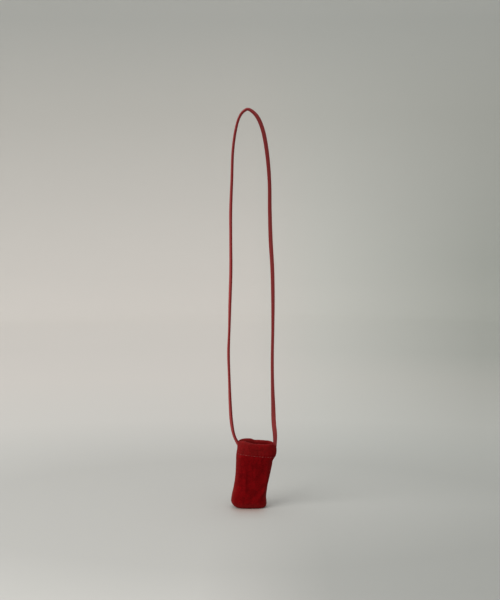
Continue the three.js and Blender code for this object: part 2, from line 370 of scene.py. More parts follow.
def new_material(name):
    material = bpy.data.materials.new(name)
    material.use_nodes = True
    tree = material.node_tree
    return material, tree, tree.nodes["Principled BSDF"]


def feed(tree, socket, value):
    """Give a socket a number, a colour or the output of another node."""
    if isinstance(value, bpy.types.NodeSocket):
        tree.links.new(value, socket)
    else:
        socket.default_value = value


def add_attribute(tree, name):
    node = tree.nodes.new("ShaderNodeAttribute")
    node.attribute_name = name
    return node.outputs["Fac"]


def add_place(tree):
    """The three coordinates of a point in the object's own frame."""
    place = tree.nodes.new("ShaderNodeTexCoord")
    parts = tree.nodes.new("ShaderNodeSeparateXYZ")
    tree.links.new(place.outputs["Object"], parts.inputs["Vector"])
    return parts.outputs


def add_math(tree, operation, *values):
    node = tree.nodes.new("ShaderNodeMath")
    node.operation = operation
    for socket, value in zip(node.inputs, values):
        feed(tree, socket, value)
    return node.outputs["Value"]


def add_noise(tree, scale, detail, roughness):
    place = tree.nodes.new("ShaderNodeTexCoord")
    texture = tree.nodes.new("ShaderNodeTexNoise")
    texture.inputs["Scale"].default_value = scale
    texture.inputs["Detail"].default_value = detail
    texture.inputs["Roughness"].default_value = roughness
    tree.links.new(place.outputs["Object"], texture.inputs["Vector"])
    return texture.outputs["Fac"]


def add_range(tree, value, low, high):
    mapped = tree.nodes.new("ShaderNodeMapRange")
    mapped.inputs["From Min"].default_value = low
    mapped.inputs["From Max"].default_value = high
    tree.links.new(value, mapped.inputs["Value"])
    return mapped.outputs["Result"]


def add_ramp(tree, factor, stops):
    ramp = tree.nodes.new("ShaderNodeValToRGB")
    elements = ramp.color_ramp.elements
    while len(elements) < len(stops):
        elements.new(0.5)
    for element, (place, colour) in zip(elements, stops):
        element.position = place
        element.color = (*colour, 1)
    tree.links.new(factor, ramp.inputs["Fac"])
    return ramp.outputs["Color"]


def add_mix(tree, kind, factor, first, second):
    mix = tree.nodes.new("ShaderNodeMix")
    mix.data_type = "RGBA"
    mix.blend_type = kind
    feed(tree, mix.inputs["Factor"], factor)
    feed(tree, mix.inputs["A"], first)
    feed(tree, mix.inputs["B"], second)
    return mix.outputs["Result"]


def shade(tree, colour, factor, stops):
    """The colour times a tone that a ramp takes from the factor."""
    return add_mix(tree, "MULTIPLY", 1.0, colour, add_ramp(tree, factor, stops))


def add_bump(tree, shader, height, strength, distance, below=None):
    bump = tree.nodes.new("ShaderNodeBump")
    bump.inputs["Strength"].default_value = strength
    bump.inputs["Distance"].default_value = distance
    tree.links.new(height, bump.inputs["Height"])
    if below:
        tree.links.new(below, bump.inputs["Normal"])
    tree.links.new(bump.outputs["Normal"], shader.inputs["Normal"])
    return bump.outputs["Normal"]


# Suede: brushed nap, rubbed places with painted highlights, fibres, blotches and the painted shade in the
# seams
NAP_SCALE = 105
NAP_TONES = [(0.32, (0.112, 0.0008, 0.0018)), (0.68, (0.186, 0.0016, 0.003))]
RUBBED_AND_LIT_COLOUR = (0.225, 0.021, 0.019, 1)
RUBBED_SCALE = 260
FIBRE_SCALE = 1300
FIBRE_TONES = [(0.32, (0.62, 0.62, 0.62)), (0.68, (1.08, 1.08, 1.08))]
BLOTCH_SCALE = 430
BLOTCH_TONES = [(0.3, (0.8, 0.76, 0.76)), (0.7, (1.14, 1.18, 1.18))]
CREASE_TONES = [(0, (1, 1, 1)), (1, (0.2, 0.2, 0.2))]
SHEEN = 0.24
SHEEN_ROUGHNESS = 0.35
SHEEN_TINT = (1.0, 0.28, 0.25, 1)


def suede_material():
    material, tree, shader = new_material("suede")
    nap = add_noise(tree, NAP_SCALE, detail=4, roughness=0.6)
    brushed = add_ramp(tree, nap, NAP_TONES)
    # Lighter, paler nap where the suede is rubbed, and painted highlight at the corners and towards the
    # left
    patches = add_noise(tree, RUBBED_SCALE, detail=3, roughness=0.6)
    rubbed_and_lit = add_math(tree, "MULTIPLY", add_attribute(tree, "wear_and_highlight"), patches)
    colour = add_mix(tree, "MIX", rubbed_and_lit, brushed, RUBBED_AND_LIT_COLOUR)
    fibre = add_noise(tree, FIBRE_SCALE, detail=4, roughness=0.7)
    colour = shade(tree, colour, fibre, FIBRE_TONES)
    blotches = add_noise(tree, BLOTCH_SCALE, detail=2, roughness=0.5)
    colour = shade(tree, colour, blotches, BLOTCH_TONES)
    colour = shade(tree, colour, add_attribute(tree, "crease"), CREASE_TONES)
    tree.links.new(colour, shader.inputs["Base Color"])
    shader.inputs["Roughness"].default_value = 1.0
    shader.inputs["Specular IOR Level"].default_value = 0.04
    shader.inputs["Sheen Weight"].default_value = SHEEN
    shader.inputs["Sheen Roughness"].default_value = SHEEN_ROUGHNESS
    shader.inputs["Sheen Tint"].default_value = SHEEN_TINT
    broad = add_bump(tree, shader, nap, strength=0.3, distance=0.5 * MM)
    add_bump(tree, shader, fibre, strength=0.5, distance=0.25 * MM, below=broad)
    return material


# Lace: tone from its inner face over its edges to its outer face, its grain, and the painted shade that
# darkens the strap towards its top between two heights, where less of the lamp's light reaches
LACE_TONES = [
    (0.02, (0.2, 0.018, 0.018)),
    (0.14, (0.19, 0.015, 0.016)),
    (0.86, (0.19, 0.015, 0.016)),
    (0.97, (0.3, 0.042, 0.041)),
]
GRAIN_SCALE = 700
GRAIN_TONES = [(0.3, (0.75, 0.75, 0.75)), (0.7, (1, 1, 1))]
STRAP_SHADE_HEIGHTS = (-0.24, -0.06)
STRAP_SHADE_TONES = [(0, (1, 1, 1)), (1, (0.78, 0.7, 0.72))]


def lace_material():
    material, tree, shader = new_material("lace")
    grain = add_noise(tree, GRAIN_SCALE, detail=4, roughness=0.6)
    colour = add_ramp(tree, add_attribute(tree, "outer"), LACE_TONES)
    colour = shade(tree, colour, grain, GRAIN_TONES)
    # Painted shade that darkens the strap towards its top, where less of the lamp's light reaches
    top_shade = add_range(tree, add_place(tree)["Z"], *STRAP_SHADE_HEIGHTS)
    tree.links.new(shade(tree, colour, top_shade, STRAP_SHADE_TONES), shader.inputs["Base Color"])
    shader.inputs["Roughness"].default_value = 0.8
    shader.inputs["Specular IOR Level"].default_value = 0.12
    add_bump(tree, shader, grain, strength=0.4, distance=0.2 * MM)
    return material


# Thread: tone from stitch to stitch, and its fluff
THREAD_TONES = [(0.3, (0.14, 0.006, 0.006)), (0.97, (0.32, 0.045, 0.036))]
FLUFF_SCALE = 1500
FLUFF_TONES = [(0.3, (0.7, 0.7, 0.7)), (0.7, (1, 1, 1))]


def thread_material():
    material, tree, shader = new_material("thread")
    fluff = add_noise(tree, FLUFF_SCALE, detail=2, roughness=0.5)
    colour = add_ramp(tree, add_attribute(tree, "tone"), THREAD_TONES)
    tree.links.new(shade(tree, colour, fluff, FLUFF_TONES), shader.inputs["Base Color"])
    shader.inputs["Roughness"].default_value = 0.75
    add_bump(tree, shader, fluff, strength=0.4, distance=0.1 * MM)
    return material


# Grey of the floor by distance from the pouch, then the painted shade that darkens it by height up the wall
FLOOR_GREYS = [
    (0.36, 0.462),
    (0.56, 0.515),
    (0.8, 0.57),
    (1.4, 0.615),
    (2.0, 0.645),
    (2.5, 0.688),
    (2.8, 0.722),
    (3.0, 0.7),
    (3.2, 0.675),
]
WALL_SHADE_TONES = [
    (0.0, (1, 1, 1)),
    (0.43, (0.86, 0.875, 0.88)),
    (0.86, (0.755, 0.785, 0.79)),
    (1.19, (0.635, 0.675, 0.685)),
]

# How much sideways distance counts, and the tint of the floor near the pouch and beyond
SIDE_SHARE = 0.5
NEAR_TINT = np.array([1.01, 1, 0.955])
FAR_TINT = np.array([1.05, 1, 0.945])
TINT_REACH = (0.45, 1.3)

# Painted shade to the right of the pouch, away from the lamp, by sideways distance over a width that grows
# with distance, and the distances and heights between which it comes in
SIDE_WIDTH = 0.45
SIDE_GROWTH = 0.21
SIDE_DISTANCES = (-0.9, 1.9)
SIDE_HEIGHTS = (BASE_Z + 1.5, BASE_Z + 0.2)
SIDE_SHADE_TONES = [
    (0.0, (1, 1, 1)),
    (0.27, (0.88, 0.92, 0.915)),
    (0.55, (0.75, 0.795, 0.785)),
    (0.85, (0.61, 0.655, 0.64)),
    (1.2, (0.54, 0.59, 0.57)),
]

# Shaded front right corner of the floor: where it starts and is full, and its tone
CORNER_X = (-0.07, 0.12)
CORNER_Y = (0.0, -0.48)
CORNER_TONES = [(0, (1, 1, 1)), (1, (0.78, 0.78, 0.78))]

# Painted contact shade and red light from the suede on the paper in front of the base: its half width,
# where it fades out in front, its strength by distance and its tone
GLOW_X = (0.034, 0.014)
GLOW_Y = (0.0, -0.085)
GLOW_SHARES = [(0.0, 0.0), (0.2, 1.0), (0.3, 0.85), (0.42, 0.5), (0.62, 0.24), (1.0, 0.0)]
GLOW_TONES = [(0, (1, 1, 1)), (1, (0.86, 0.68, 0.64))]

# Where the floor is even again in front of the camera's view, and the shade that evens it out by the lamp
EVEN_Y = (-2.6, -0.6)
LAMP_REACH = (0.3, 2.2)
LAMP_TONES = [(0, (0.4, 0.4, 0.4)), (1, (1, 1, 1))]


def paper_material():
    """Pale grey paper with painted light and shade: lightest at the left and darker to the right, the front
    right corner and the top.
    """
    material, tree, shader = new_material("paper")
    x, y, z = add_place(tree)
    beside = add_math(tree, "MULTIPLY", add_math(tree, "MULTIPLY", x, x), SIDE_SHARE)
    away = add_math(tree, "SQRT", add_math(tree, "MULTIPLY_ADD", y, y, beside))
    stops = []
    for at, grey in FLOOR_GREYS:
        tint = NEAR_TINT + (FAR_TINT - NEAR_TINT) * smooth_step(*TINT_REACH, at)
        stops.append((at / FLOOR_RADIUS, tuple(grey * tint)))
    colour = add_ramp(tree, add_range(tree, away, 0, FLOOR_RADIUS), stops)
    # Painted shade that darkens the wall towards its top
    height = add_range(tree, z, BASE_Z, BASE_Z + WALL_TOP)
    colour = shade(tree, colour, height, [(at / WALL_TOP, tone) for at, tone in WALL_SHADE_TONES])

    # Painted shade to the right of the pouch, away from the lamp
    width = add_math(tree, "MULTIPLY_ADD", away, SIDE_GROWTH, SIDE_WIDTH)
    reach = SIDE_SHADE_TONES[-1][0]
    to_right = add_range(tree, add_math(tree, "DIVIDE", x, width), 0, reach)
    shaded = shade(tree, colour, to_right, [(at / reach, tone) for at, tone in SIDE_SHADE_TONES])
    in_view = add_range(tree, y, *EVEN_Y)
    beyond = add_math(tree, "MULTIPLY", add_range(tree, away, *SIDE_DISTANCES), in_view)
    on_side = add_math(tree, "MULTIPLY", beyond, add_range(tree, z, *SIDE_HEIGHTS))
    colour = add_mix(tree, "MIX", on_side, colour, shaded)

    corner = add_math(tree, "MULTIPLY", add_range(tree, x, *CORNER_X), add_range(tree, y, *CORNER_Y))
    colour = shade(tree, colour, add_math(tree, "MULTIPLY", corner, in_view), CORNER_TONES)

    lamp_x = add_math(tree, "SUBTRACT", x, LAMP_PLACE[0])
    lamp_y = add_math(tree, "SUBTRACT", y, LAMP_PLACE[1])
    from_lamp = add_math(tree, "MULTIPLY_ADD", lamp_y, lamp_y, add_math(tree, "MULTIPLY", lamp_x, lamp_x))
    by_lamp = add_range(tree, add_math(tree, "SQRT", from_lamp), *LAMP_REACH)
    colour = shade(tree, colour, by_lamp, LAMP_TONES)

    # Painted contact shade and red light in front of the base
    from_middle = add_math(tree, "ABSOLUTE", add_math(tree, "SUBTRACT", x, POUCH_X))
    ahead = add_ramp(tree, add_range(tree, y, *GLOW_Y), [(at, (share,) * 3) for at, share in GLOW_SHARES])
    glow = add_math(tree, "MULTIPLY", ahead, add_range(tree, from_middle, *GLOW_X))
    colour = shade(tree, colour, glow, GLOW_TONES)
    tree.links.new(colour, shader.inputs["Base Color"])
    shader.inputs["Roughness"].default_value = 0.9
    shader.inputs["Specular IOR Level"].default_value = 0.1
    return material


# Lace

def rounded_section(thickness, width, rounding, steps=4):
    """Corners of a rectangle with round edges, across the thickness and along the width."""
    corners = []
    for turn, (across, along) in enumerate([(1, 1), (-1, 1), (-1, -1), (1, -1)]):
        for step in range(steps + 1):
            angle = math.pi / 2 * (turn + step / steps)
            u = across * (thickness / 2 - rounding) + rounding * math.cos(angle)
            v = along * (width / 2 - rounding) + rounding * math.sin(angle)
            corners.append((u, v))
    return corners


TOWARDS_BACK = np.array([0.0, 1.0, 0.0])
UP = np.array([0.0, 0.0, 1.0])


def unit(vectors):
    return vectors / np.linalg.norm(vectors, axis=-1, keepdims=True)


def sweep(name, centres, tangents, sides, section, material):
    """A solid band along the centres whose thickness points along the sides."""
    widths = unit(np.cross(tangents, sides))
    faces_out = np.cross(widths, tangents)
    count = len(section)
    points = []
    for centre, face_out, wide in zip(centres, faces_out, widths):
        points += [centre + u * face_out + v * wide for u, v in section]
    faces = []
    for ring in range(len(centres) - 1):
        for corner in range(count):
            after = (corner + 1) % count
            low, high = ring * count, (ring + 1) * count
            faces.append((low + corner, low + after, high + after, high + corner))
    faces.append(tuple(range(count - 1, -1, -1)))
    faces.append(tuple(range(len(points) - count, len(points))))
    piece = new_piece(name, points, faces, material)
    for edge in piece.data.edges:
        first, second = edge.vertices
        edge.use_edge_sharp = max(first, second) < count or min(first, second) >= len(points) - count
    outer = piece.data.attributes.new("outer", "FLOAT", "POINT")
    share = [0.5 + u / LACE_THICKNESS for u, v in section]
    outer.data.foreach_set("value", share * len(centres))
    return piece


def catmull_rom(points, step):
    """Centripetal curve through the points, with samples about a step apart."""
    points = np.array(points, float)
    first = 2 * points[0] - points[1]
    last = 2 * points[-1] - points[-2]
    guides = np.vstack([first, points, last])
    samples = []
    for p0, p1, p2, p3 in zip(guides, guides[1:], guides[2:], guides[3:]):
        gaps = [np.linalg.norm((b - a)[:3]) ** 0.5 for a, b in ((p0, p1), (p1, p2), (p2, p3))]
        slope1 = (p1 - p0) / gaps[0] - (p2 - p0) / (gaps[0] + gaps[1]) + (p2 - p1) / gaps[1]
        slope2 = (p2 - p1) / gaps[1] - (p3 - p1) / (gaps[1] + gaps[2]) + (p3 - p2) / gaps[2]
        slope1, slope2 = slope1 * gaps[1], slope2 * gaps[1]
        count = max(2, round(np.linalg.norm((p2 - p1)[:3]) / step))
        for t in np.arange(count) / count:
            rise = (1 + 2 * t) * (1 - t) ** 2 * p1 + t * t * (3 - 2 * t) * p2
            samples.append(rise + t * (1 - t) ** 2 * slope1 - t * t * (1 - t) * slope2)
    samples.append(points[-1])
    return np.array(samples)


def strap_line():
    """Centres of the free strap and the direction of its outer face, from slit to slit."""
    samples = catmull_rom([(x * MM, y * MM, z * MM, turn) for x, y, z, turn in STRAP_ROUTE], STRAP_STEP)
    ends = [pouch_points(side, FOLD_RADIUS, LACE_HEIGHT + STRAP_FOOT)[2] for side in (LEFT, RIGHT)]
    middle = len(samples) // 2
    keep = np.concatenate([samples[:middle, 2] > ends[0], samples[middle:, 2] > ends[1]])
    samples = samples[keep]
    centres = samples[:, :3]
    turns = np.radians(samples[:, 3:])
    tangents = unit(np.gradient(centres, axis=0))
    outward = unit(np.cross(tangents, TOWARDS_BACK))
    front = unit(np.cross(tangents, outward))
    front = front * np.where(front[:, 1:2] > 0, -1, 1)
    sides = outward * np.cos(turns) + front * np.sin(turns)
    return centres, sides


def casing_run(half_start):
    """The lace in one half of the casing, from slit to sewn end, and the way its outer face looks."""
    angles = half_start + np.linspace(RUN_START, math.pi - RUN_END, RUN_RINGS)
    run = pouch_points(angles, FOLD_RADIUS, LACE_HEIGHT)
    return run, unit(pouch_points(angles, 0, LACE_HEIGHT) - run)


def slit_bend(strap_end, strap_tangent, strap_side, run, outside):
    """The turn of the lace from the strap end in a slit into the casing."""
    into = unit(run[1] - run[0])
    reach = BEND_SWING * np.linalg.norm(run[0] - strap_end)
    t = np.linspace(0, 1, BEND_RINGS + 2)[1:-1, None]
    rise = (1 + 2 * t) * (1 - t) ** 2 * strap_end + t * t * (3 - 2 * t) * run[0]
    bend = rise + reach * (t * (1 - t) ** 2 * strap_tangent - t * t * (1 - t) * into)
    share = np.clip(t / BEND_TURNED, 0, 1)
    ease = share * (BEND_TWIST + (1 - BEND_TWIST) * share)
    return bend, unit((1 - ease) * strap_side + ease * outside[0])


def add_lace(material):
    """One lace in three stretches: front casing, free strap and back casing."""
    strap, strap_sides = strap_line()
    tangents = unit(np.gradient(strap, axis=0))
    front_run, front_out = casing_run(LEFT)
    back_run, back_out = casing_run(RIGHT)
    front_bend, front_turn = slit_bend(strap[0], -tangents[0], strap_sides[0], front_run, front_out)
    back_bend, back_turn = slit_bend(strap[-1], tangents[-1], strap_sides[-1], back_run, back_out)
    centres = np.vstack([front_run[::-1], front_bend[::-1], strap, back_bend, back_run])
    sides = np.vstack([front_out[::-1], front_turn[::-1], strap_sides, back_turn, back_out])
    tangents = unit(np.gradient(centres, axis=0))
    first = len(front_run) + len(front_bend)
    last = first + len(strap) - 1
    section = rounded_section(LACE_THICKNESS, LACE_WIDTH, LACE_ROUNDING)
    stretches = [
        ("draw_lace_front", "drawstring_front", slice(0, first + 1)),
        ("strap_lace", "shoulder_strap", slice(first, last + 1)),
        ("draw_lace_back", "drawstring_back", slice(last, len(centres))),
    ]
    for name, node, part in stretches:
        piece = sweep(name, centres[part], tangents[part], sides[part], section, material)
        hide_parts(node)


# Suede sheet

# Columns and rows of its mesh
AROUND = 224
SLIT_COLUMNS = 12
BASE_ROWS = 8
EDGE_ROWS = 9
WALL_ROWS = 56
CASING_ROWS = 14
FOLD_ROWS = 12
HEM_ROWS = 10

# The girth that is measured to space the columns, and how they crowd to the middle of a slit
GIRTH_HEIGHT = 50 * MM
GIRTH_POINTS = 2000
SLIT_CROWDING = 1.2

# Round foot of a slit, and how near a row must be to count as level with it
SLIT_DIP = 2.2 * MM
SLIT_DIP_REACH = 5 * MM
LEVEL_TOLERANCE = 1e-6

# Rounding of the cut edges
CUT_EDGE = 0.3 * MM
CUT_EDGE_ANGLE = math.radians(60)
CUT_EDGE_SEGMENTS = 2

# Slack of the wall as it settles, how long it settles, how far a point may move, and how often and how
# strongly the moves are smoothed
SLACK = 0.014
SETTLE_FRAMES = 18
SAG_CAP = 2.5 * MM
NO_MOVE = 1e-9
SMOOTH_TURNS = 18
SMOOTH_SHARE = 0.5

# Cloth settings of the suede
CLOTH_QUALITY = 6
CLOTH_MASS = 0.05
CLOTH_STRETCH = 30
CLOTH_SHEAR = 12
CLOTH_BENDING = 12

# Where the wall becomes free to settle: above the base, below the casing and away from a side seam
FREE_ABOVE_BASE = (4 * MM, 16 * MM)
HELD_BELOW_CASING = (STITCH_HEIGHT - 16 * MM, HEM_EDGE - 1 * MM)
FREE_FROM_SEAM = (2.5 * MM, 8 * MM)


def side_angle(distance):
    """Angle from a side at which the casing is this far from the middle plane."""
    depth = cubic_through(STATION_HEIGHTS, STATION_DEPTHS, np.array(LACE_HEIGHT))
    square = cubic_through(STATION_HEIGHTS, STATION_SQUARENESS, np.array(LACE_HEIGHT))
    return math.asin((distance / (depth / 2)) ** (square / 2))


def sheet_angles():
    """Angles of the columns, evenly spaced along the girth between the slits and across each slit."""
    gap = side_angle(SLIT_WIDTH / 2)
    fine = np.linspace(gap, math.pi - gap, GIRTH_POINTS)
    line = pouch_points(fine, 0, GIRTH_HEIGHT)
    along = np.concatenate([[0], np.cumsum(np.linalg.norm(np.diff(line, axis=0), axis=1))])
    count = (AROUND - 2 * SLIT_COLUMNS) // 2
    half = np.interp(np.linspace(0, along[-1], count + 1), along, fine)[:-1]
    crossing = gap * signed_power(np.linspace(-1, 1, SLIT_COLUMNS + 1)[:-1], SLIT_CROWDING)
    return np.concatenate([crossing, half, crossing + math.pi, half + math.pi])


def base_radius(angle):
    """Radius of the base edge at an angle: it eases from one side to the next."""
    quarter = (angle / (math.pi / 2)) % 4
    low = np.floor(quarter).astype(int)
    share = quarter - low
    ease = share * share * (3 - 2 * share)
    return BASE_ROUNDING[low % 4] * (1 - ease) + BASE_ROUNDING[(low + 1) % 4] * ease


def slit_dip(angle, height):
    """How far a row sinks between the slit edges, which rounds the foot of the slit."""
    gap = side_angle(SLIT_WIDTH / 2)
    from_side = np.abs(np.angle(np.exp(2j * angle))) / 2
    inside = np.clip(1 - (from_side / gap) ** 2, 0, 1)
    return SLIT_DIP * inside * np.exp(-(((height - SLIT_HEIGHT) / SLIT_DIP_REACH) ** 2))


def sheet_rows(angles):
    """Base middle, rows up the wall, over the rim and down the hem, and heights from the casing on."""
    radius = base_radius(angles)
    half = SUEDE / 2
    rows = []
    heights = []
    edge = pouch_points(angles, radius, half)
    centre = edge.mean(axis=0)
    for row in range(1, BASE_ROWS):
        rows.append(centre + (edge - centre) * row / BASE_ROWS)
        heights.append(0)
    for row in range(EDGE_ROWS):
        turn = math.pi / 2 * row / EDGE_ROWS
        inset = radius - (radius - half) * math.sin(turn)
        height = radius - (radius - half) * math.cos(turn)
        rows.append(pouch_points(angles, inset, height))
        heights.append(0)
    for row in range(WALL_ROWS):
        height = radius + (STITCH_HEIGHT - radius) * row / WALL_ROWS
        rows.append(pouch_points(angles, half, height - slit_dip(angles, height)))
        heights.append(0)
    for row in range(CASING_ROWS):
        height = STITCH_HEIGHT + (FOLD_HEIGHT - STITCH_HEIGHT) * row / CASING_ROWS
        rows.append(pouch_points(angles, half, height - slit_dip(angles, height)))
        heights.append(height)
    for row in range(FOLD_ROWS + 1):
        turn = math.pi * row / FOLD_ROWS
        inset = FOLD_RADIUS - (FOLD_RADIUS - half) * math.cos(turn)
        height = FOLD_HEIGHT + (FOLD_RADIUS - half) * math.sin(turn)
        rows.append(pouch_points(angles, inset, height))
        heights.append(height)
    hem_heights = np.linspace(FOLD_HEIGHT, HEM_EDGE, HEM_ROWS + 1)[1:]
    hem_inset = SUEDE + HEM_GAP + half
    for height in hem_heights:
        closing = smooth_step(STITCH_HEIGHT, TUNNEL_FLOOR, height)
        inset = hem_inset + (2 * FOLD_RADIUS - half - hem_inset) * closing
        rows.append(pouch_points(angles, inset, height - slit_dip(angles, height)))
        heights.append(height)
    return centre, rows, heights


# Rubbed nap on the base, casing and rim, and painted highlight at the corners: how much of each, how much
# more painted highlight at the left of the casing and corners, where the lamp is, and where
BASE_WEAR = 0.4
BASE_WEAR_HEIGHT = 4 * MM
BASE_WEAR_REACH = 5 * MM
CASING_WEAR = 0.35
CASING_HIGHLIGHT_LEFT = 0.15
CASING_WEAR_LEVELS = (STITCH_HEIGHT - 1 * MM, STITCH_HEIGHT + 3 * MM)
RIM_WEAR = 0.5
RIM_WEAR_LEVELS = (POUCH_HEIGHT - 4 * MM, POUCH_HEIGHT)
CORNER_HIGHLIGHT = 0.5
CORNER_HIGHLIGHT_LEFT = 0.2
CORNER_ANGLE = 0.35

# Shade along a side seam
CREASE_SHARE = 0.75
CREASE_WIDTH = 0.7 * MM


def sheet_wear_and_highlight(angles, rows):
    """How rubbed the nap is, most on the rim, some on the casing and round the base, and the painted
    highlight at the corners, stronger to the left.
    """
    levels = np.stack([row[:, 2] - BASE_Z for row in rows])
    to_right = np.cos(angles)
    on_base = BASE_WEAR * np.exp(-((levels - BASE_WEAR_HEIGHT) / BASE_WEAR_REACH) ** 2)
    # Rubbed casing, with painted highlight that makes it lighter towards the left, where the lamp is
    on_casing = (CASING_WEAR - CASING_HIGHLIGHT_LEFT * to_right) * smooth_step(*CASING_WEAR_LEVELS, levels)
    on_rim = RIM_WEAR * smooth_step(*RIM_WEAR_LEVELS, levels)
    # Painted highlight at the corners beside the side seams, strongest at the left
    from_side = np.abs(np.angle(np.exp(2j * angles))) / 2
    near_corner = np.exp(-(((from_side - CORNER_ANGLE) / CORNER_ANGLE) ** 2))
    corner_highlight = (CORNER_HIGHLIGHT - CORNER_HIGHLIGHT_LEFT * to_right) * near_corner
    return np.clip(on_base + on_casing + on_rim + corner_highlight, 0, 1)


def sheet_crease(rows):
    """How deep in the shade of a side seam each point lies."""
    levels = np.stack([row[:, 2] - BASE_Z for row in rows])
    from_seam = np.abs(np.stack([row[:, 1] for row in rows]))
    return CREASE_SHARE * np.exp(-((from_seam / CREASE_WIDTH) ** 2)) * (levels < SLIT_HEIGHT)


def add_pouch(material):
    angles = sheet_angles()
    centre, rows, heights = sheet_rows(angles)
    points = np.vstack([centre[None, :], *rows])
    # Rubbed nap with painted highlight, and painted shade along the side seams
    wear_and_highlight = np.concatenate([[0], sheet_wear_and_highlight(angles, rows).ravel()])
    crease = np.concatenate([[0], sheet_crease(rows).ravel()])
    count = len(angles)
    in_slit = [column % (count // 2) < SLIT_COLUMNS for column in range(count)]
    faces = [(0, 1 + (column + 1) % count, 1 + column) for column in range(count)]
    for row in range(len(rows) - 1):
        above_floor = min(heights[row], heights[row + 1]) > SLIT_HEIGHT - LEVEL_TOLERANCE
        for column in range(count):
            if above_floor and in_slit[column]:
                continue
            after = (column + 1) % count
            low, high = 1 + row * count, 1 + (row + 1) * count
            faces.append((low + column, low + after, high + after, high + column))
    used = np.zeros(len(points), bool)
    used[[corner for face in faces for corner in face]] = True
    number = np.cumsum(used) - 1
    faces = [tuple(int(number[corner]) for corner in face) for face in faces]
    pouch = new_piece("pouch_suede", points[used], faces, material)
    pouch.data.attributes.new("wear_and_highlight", "FLOAT", "POINT").data.foreach_set("value", wear_and_highlight[used])
    pouch.data.attributes.new("crease", "FLOAT", "POINT").data.foreach_set("value", crease[used])
    levels = points[used][:, 2] - BASE_Z
    loose = smooth_step(*FREE_ABOVE_BASE, levels) * (1 - smooth_step(*HELD_BELOW_CASING, levels))
    loose = loose * smooth_step(*FREE_FROM_SEAM, np.abs(points[used][:, 1]))
    settle(pouch, 1 - loose)
    thicken = pouch.modifiers.new("thickness", "SOLIDIFY")
    thicken.thickness = SUEDE
    thicken.offset = 0
    thicken.use_even_offset = True
    edge = pouch.modifiers.new("cut_edge", "BEVEL")
    edge.width = CUT_EDGE
    edge.segments = CUT_EDGE_SEGMENTS
    edge.limit_method = "ANGLE"
    edge.angle_limit = CUT_EDGE_ANGLE
    apply_modifiers(pouch)
    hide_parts("pouch_body")
    return pouch


def settle(piece, held):
    """Let the slack wall sag between its sewn casing and its base, and keep the shape that it takes."""
    start = np.array([corner.co for corner in piece.data.vertices])
    group = piece.vertex_groups.new(name="held")
    for number, weight in enumerate(held):
        group.add([number], float(weight), "REPLACE")
    cloth = piece.modifiers.new("cloth", "CLOTH")
    cloth.settings.quality = CLOTH_QUALITY
    cloth.settings.mass = CLOTH_MASS
    cloth.settings.tension_stiffness = CLOTH_STRETCH
    cloth.settings.compression_stiffness = CLOTH_STRETCH
    cloth.settings.shear_stiffness = CLOTH_SHEAR
    cloth.settings.bending_stiffness = CLOTH_BENDING
    cloth.settings.shrink_min = -SLACK
    cloth.settings.vertex_group_mass = "held"
    cloth.collision_settings.use_collision = False
    cloth.point_cache.frame_start = 1
    cloth.point_cache.frame_end = SETTLE_FRAMES
    for number in range(1, SETTLE_FRAMES + 1):
        bpy.context.scene.frame_set(number)
    graph = bpy.context.evaluated_depsgraph_get()
    settled = np.array([corner.co for corner in piece.evaluated_get(graph).data.vertices])
    piece.modifiers.clear()
    bpy.context.scene.frame_set(1)
    move = settled - start
    far = np.linalg.norm(move, axis=1)
    move = move * (SAG_CAP * np.tanh(far / SAG_CAP) / np.maximum(far, NO_MOVE))[:, None]
    ends = np.array([edge.vertices for edge in piece.data.edges])
    neighbours = np.bincount(ends.ravel(), minlength=len(start))[:, None]
    loose = np.array(held)[:, None] < 1
    for turn in range(SMOOTH_TURNS):
        total = np.zeros_like(move)
        np.add.at(total, ends[:, 0], move[ends[:, 1]])
        np.add.at(total, ends[:, 1], move[ends[:, 0]])
        move = (1 - SMOOTH_SHARE) * move + SMOOTH_SHARE * total / neighbours * loose
    piece.data.vertices.foreach_set("co", (start + move).ravel())
    piece.data.update()


def apply_modifiers(piece):
    graph = bpy.context.evaluated_depsgraph_get()
    mesh = bpy.data.meshes.new_from_object(piece.evaluated_get(graph))
    piece.modifiers.clear()
    piece.data = mesh


# Stitches

# Spacing and length of the stitches, rings and sides of each, and how far from a slit a row starts
STITCH_PITCH = 4.8 * MM
STITCH_LENGTH = 2.8 * MM
STITCH_RINGS = 9
STITCH_SIDES = 8
STITCH_MARGIN = 0.1
STITCH_LINE_POINTS = 240

# How far a stitch stands up, dives, leans and differs in length, how flat its thread lies, and the steps by
# which length, lean and tone vary from one stitch to the next
STITCH_RISE = 0.38 * THREAD
STITCH_DIVE = 1.1 * THREAD
STITCH_LEAN = 0.35 * THREAD
STITCH_UNEVEN = 0.12
THREAD_FLATNESS = 0.85
LENGTH_STEP = 7.3
LEAN_STEP = 3.7
LEAN_START = 1
TONE_STEP = 2.3
TONE_START = 0.4


def stitch_points(line, outs):
    """Rings of each stitch in a row: it rises from one hole, lies on the sheet and dives into the next."""
    along = np.concatenate([[0], np.cumsum(np.linalg.norm(np.diff(line, axis=0), axis=1))])
    rings = []
    count = int(along[-1] / STITCH_PITCH)
    margin = (along[-1] - count * STITCH_PITCH) / 2
    for number in range(count):
        middle = margin + STITCH_PITCH * (number + 0.5)
        reach = STITCH_LENGTH / 2 * (1 + STITCH_UNEVEN * math.sin(LENGTH_STEP * number))
        lean = STITCH_LEAN * math.sin(LEAN_STEP * number + LEAN_START)
        stitch = []
        for share in np.linspace(-1, 1, STITCH_RINGS):
            at = middle + reach * share
            point = np.array([np.interp(at, along, line[:, axis]) for axis in range(3)])
            out = unit(np.array([np.interp(at, along, outs[:, axis]) for axis in range(3)]))
            height = STITCH_RISE - STITCH_DIVE * abs(share) ** 4
            stitch.append((point + out * height, out, lean * share))
        rings.append(stitch)
    return rings


